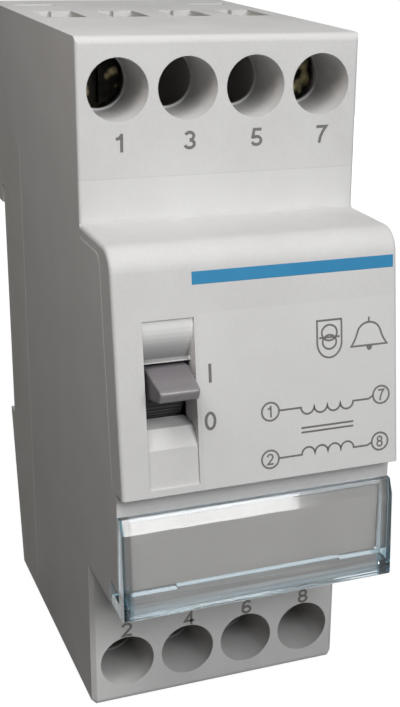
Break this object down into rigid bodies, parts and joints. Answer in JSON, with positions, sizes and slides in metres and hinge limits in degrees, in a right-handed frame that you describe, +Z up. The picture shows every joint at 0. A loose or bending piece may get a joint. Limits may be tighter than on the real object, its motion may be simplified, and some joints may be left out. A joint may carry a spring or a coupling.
{
  "type": "doorbell transformer",
  "caption": "Rail-mounted bell transformer with a supply switch, a clear hinged label flap, screw terminals with lifting cages and a sprung rail clip.",
  "frame": {"origin": "centre of the seat on the rail, halfway up the rail and across the device", "axes": "+X to the right seen from the front, +Y to the back, +Z up"},
  "size_m": [0.035, 0.0663, 0.087],
  "materials": {
    "housing_grey": "matt",
    "lever_grey": "satin",
    "clear_plastic": "gloss",
    "label_grey": "matt",
    "clip_plastic": "satin",
    "passivated_steel": "satin",
    "tinned_brass": "satin",
    "spring_steel": "satin",
    "core_steel": "matt",
    "bobbin_plastic": "satin",
    "winding_copper": "gloss",
    "winding_tape": "gloss",
    "cutout_case": "satin",
    "lead_brown": "satin",
    "lead_blue": "satin",
    "lead_red": "satin"
  },
  "bodies": {
    "main": {"housing": "housing_grey", "rear_base": "housing_grey", "front_cap": "housing_grey", "label_card": "label_grey", "lever_pin": "spring_steel", "rocker_support_strip": "tinned_brass", "fixed_contact_strip": "tinned_brass", "clip_spring": "spring_steel", "core_e_stack": "core_steel", "core_i_stack": "core_steel", "coil_bobbin": "bobbin_plastic", "bobbin_pins": "tinned_brass", "primary_winding": "winding_copper", "secondary_winding": "winding_copper", "primary_tape": "winding_tape", "secondary_tape": "winding_tape", "thermal_cutout": "cutout_case", "lead_terminal_1": "lead_brown", "lead_switch": "lead_brown", "lead_terminal_7": "lead_blue", "lead_terminal_2": "lead_red", "lead_terminal_8": "lead_red", "terminal_bar_1": "tinned_brass", "terminal_bar_7": "tinned_brass", "terminal_bar_2": "tinned_brass", "terminal_bar_8": "tinned_brass"},
    "lever": {"switch_lever": "lever_grey", "switch_plunger": "bobbin_plastic", "plunger_spring": "spring_steel"},
    "rocker": {"contact_rocker": "tinned_brass"},
    "flap": {"label_flap": "clear_plastic"},
    "clip": {"rail_clip": "clip_plastic"},
    "screw_1": {"terminal_screw_1": "passivated_steel"},
    "cage_1": {"terminal_cage_1": "passivated_steel"},
    "screw_7": {"terminal_screw_7": "passivated_steel"},
    "cage_7": {"terminal_cage_7": "passivated_steel"},
    "screw_2": {"terminal_screw_2": "passivated_steel"},
    "cage_2": {"terminal_cage_2": "passivated_steel"},
    "screw_8": {"terminal_screw_8": "passivated_steel"},
    "cage_8": {"terminal_cage_8": "passivated_steel"}
  },
  "joints": [
    {"name": "lever_rock", "type": "hinge", "parent": "main", "child": "lever", "pos_m": [0, -0.0495, 0.00498], "axis": [1, 0, 0], "range_deg": [0, 24]},
    {"name": "rocker_tilt", "type": "hinge", "parent": "main", "child": "rocker", "pos_m": [0, -0.03927, 0.00498], "axis": [1, 0, 0], "range_deg": [-16, 0]},
    {"name": "flap_open", "type": "hinge", "parent": "main", "child": "flap", "pos_m": [0, -0.0552, -0.0213], "axis": [1, 0, 0], "range_deg": [0, 110]},
    {"name": "clip_release", "type": "slide", "parent": "main", "child": "clip", "axis": [0, 0, -1], "range_m": [0, 0.003], "stiffness_N_per_m": 1500, "springref_m": -0.002, "deforming": ["clip_spring"]},
    {"name": "screw_turn_1", "type": "hinge", "parent": "main", "child": "screw_1", "pos_m": [-0.01264, -0.034, 0.0375], "axis": [0, 1, 0], "range_deg": [0, 3086.71]},
    {"name": "cage_lift_1", "type": "slide", "parent": "main", "child": "cage_1", "axis": [0, -1, 0], "range_m": [0, 0.006]},
    {"name": "screw_turn_7", "type": "hinge", "parent": "main", "child": "screw_7", "pos_m": [0.01264, -0.034, 0.0375], "axis": [0, 1, 0], "range_deg": [0, 3086.71]},
    {"name": "cage_lift_7", "type": "slide", "parent": "main", "child": "cage_7", "axis": [0, -1, 0], "range_m": [0, 0.006]},
    {"name": "screw_turn_2", "type": "hinge", "parent": "main", "child": "screw_2", "pos_m": [-0.01264, -0.034, -0.0375], "axis": [0, 1, 0], "range_deg": [0, 3086.71]},
    {"name": "cage_lift_2", "type": "slide", "parent": "main", "child": "cage_2", "axis": [0, -1, 0], "range_m": [0, 0.006]},
    {"name": "screw_turn_8", "type": "hinge", "parent": "main", "child": "screw_8", "pos_m": [0.01264, -0.034, -0.0375], "axis": [0, 1, 0], "range_deg": [0, 3086.71]},
    {"name": "cage_lift_8", "type": "slide", "parent": "main", "child": "cage_8", "axis": [0, -1, 0], "range_m": [0, 0.006]}
  ],
  "couplings": [
    {"joint": "rocker_tilt", "follows": "lever_rock", "ratio": -0.66666},
    {"joint": "screw_turn_1", "follows": "cage_lift_1", "rad_per_m": 8976},
    {"joint": "screw_turn_7", "follows": "cage_lift_7", "rad_per_m": 8976},
    {"joint": "screw_turn_2", "follows": "cage_lift_2", "rad_per_m": 8976},
    {"joint": "screw_turn_8", "follows": "cage_lift_8", "rad_per_m": 8976}
  ]
}
